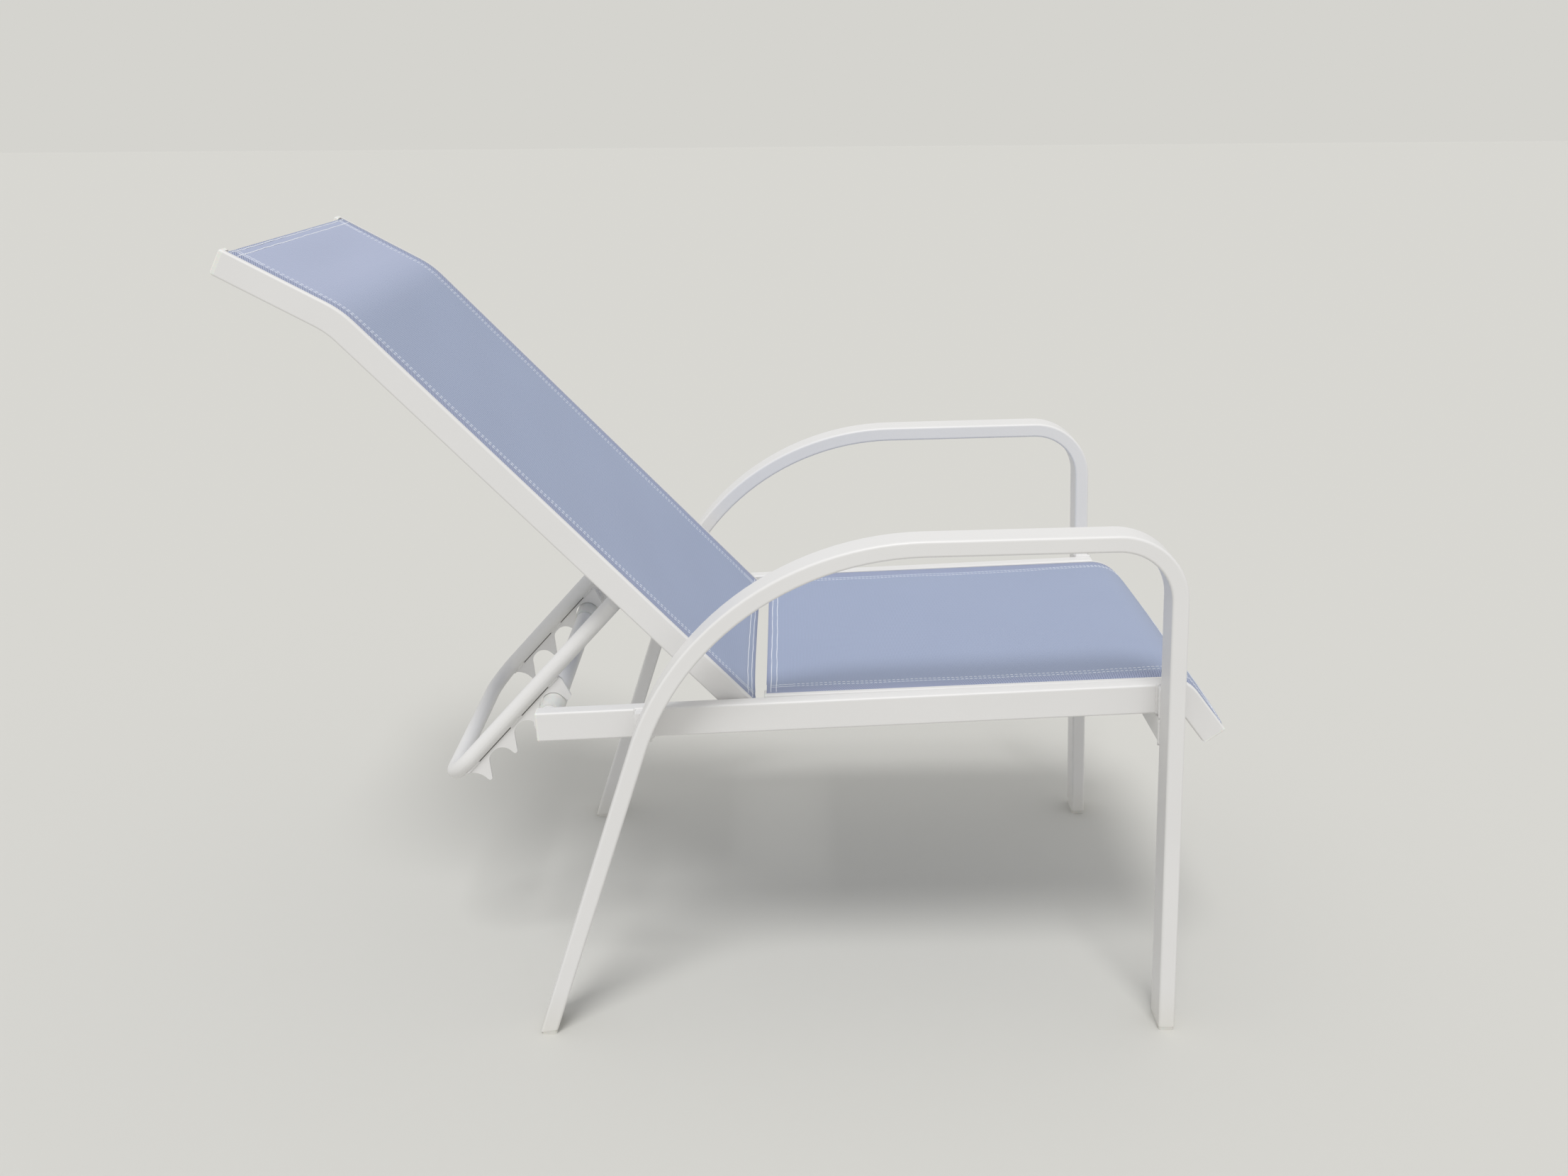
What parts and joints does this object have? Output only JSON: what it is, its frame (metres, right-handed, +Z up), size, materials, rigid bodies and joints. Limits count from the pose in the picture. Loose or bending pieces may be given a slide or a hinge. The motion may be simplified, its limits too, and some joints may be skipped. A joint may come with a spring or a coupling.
{
  "type": "reclining garden armchair",
  "caption": "Outdoor armchair with bent tube side frames, a taut mesh seat and a high mesh back that a notched bail holds at different tilts",
  "frame": {"origin": "on the floor, at the middle of the chair's width and length", "axes": "+Z up, the sitter faces -Y, +X to the sitter's left; +Y is the longest extent and X the shortest"},
  "size_m": [0.612, 1.1306, 0.9249],
  "materials": {
    "coated_frame": "satin white powder coat on aluminium tube",
    "white_plastic": "moulded white plastic",
    "sling_fabric": "blue-grey woven coated mesh",
    "keder_plastic": "extruded plastic rod",
    "spacer_plastic": "moulded white plastic",
    "bolt_steel": "zinc plated steel"
  },
  "bodies": {
    "base": {"front_stretcher": "coated_frame", "rear_crossbar": "coated_frame", "seat_sling": "sling_fabric", "seat_spreader_1": "coated_frame", "seat_spreader_2": "coated_frame", "left_side_frame": "coated_frame", "right_side_frame": "coated_frame", "left_front_glide": "white_plastic", "right_front_glide": "white_plastic", "left_rear_glide": "white_plastic", "right_rear_glide": "white_plastic", "left_side_rail": "coated_frame", "right_side_rail": "coated_frame", "left_side_rail_cap": "white_plastic", "right_side_rail_cap": "white_plastic", "left_front_rail_block": "coated_frame", "right_front_rail_block": "coated_frame", "left_rear_rail_block": "coated_frame", "right_rear_rail_block": "coated_frame", "left_crossbar_sleeve": "white_plastic", "right_crossbar_sleeve": "white_plastic", "left_seat_rail": "coated_frame", "right_seat_rail": "coated_frame", "left_seat_rail_rear_cap": "white_plastic", "right_seat_rail_rear_cap": "white_plastic", "left_seat_rail_front_cap": "white_plastic", "right_seat_rail_front_cap": "white_plastic", "left_seat_keder": "keder_plastic", "right_seat_keder": "keder_plastic", "left_pivot_bolt": "bolt_steel", "right_pivot_bolt": "bolt_steel", "left_pivot_spacer": "spacer_plastic", "right_pivot_spacer": "spacer_plastic", "left_seat_screw_1": "bolt_steel", "right_seat_screw_1": "bolt_steel", "left_seat_screw_2": "bolt_steel", "right_seat_screw_2": "bolt_steel"},
    "back": {"back_sling": "sling_fabric", "bail_axle": "bolt_steel", "back_spreader_1": "coated_frame", "back_spreader_2": "coated_frame", "left_back_rail": "coated_frame", "right_back_rail": "coated_frame", "left_back_rail_head_cap": "white_plastic", "right_back_rail_head_cap": "white_plastic", "left_back_rail_tail_cap": "white_plastic", "right_back_rail_tail_cap": "white_plastic", "left_back_keder": "keder_plastic", "right_back_keder": "keder_plastic", "left_axle_spacer": "spacer_plastic", "right_axle_spacer": "spacer_plastic", "left_axle_collar": "spacer_plastic", "right_axle_collar": "spacer_plastic"},
    "bail": {"bail_tube": "coated_frame", "left_notch_plate": "coated_frame", "right_notch_plate": "coated_frame"}
  },
  "joints": [
    {"name": "back_recline", "type": "hinge", "parent": "base", "child": "back", "pos_m": [0, 0.00568, 0.39487], "axis": [1, 0, 0], "range_deg": [0, 33]},
    {"name": "bail_swing", "type": "hinge", "parent": "back", "child": "bail", "pos_m": [0, 0.13407, 0.52875], "axis": [1, 0, 0], "range_deg": [0, 14]}
  ],
  "couplings": [
    {"joint": "bail_swing", "follows": "back_recline", "ratio": 0.4}
  ]
}
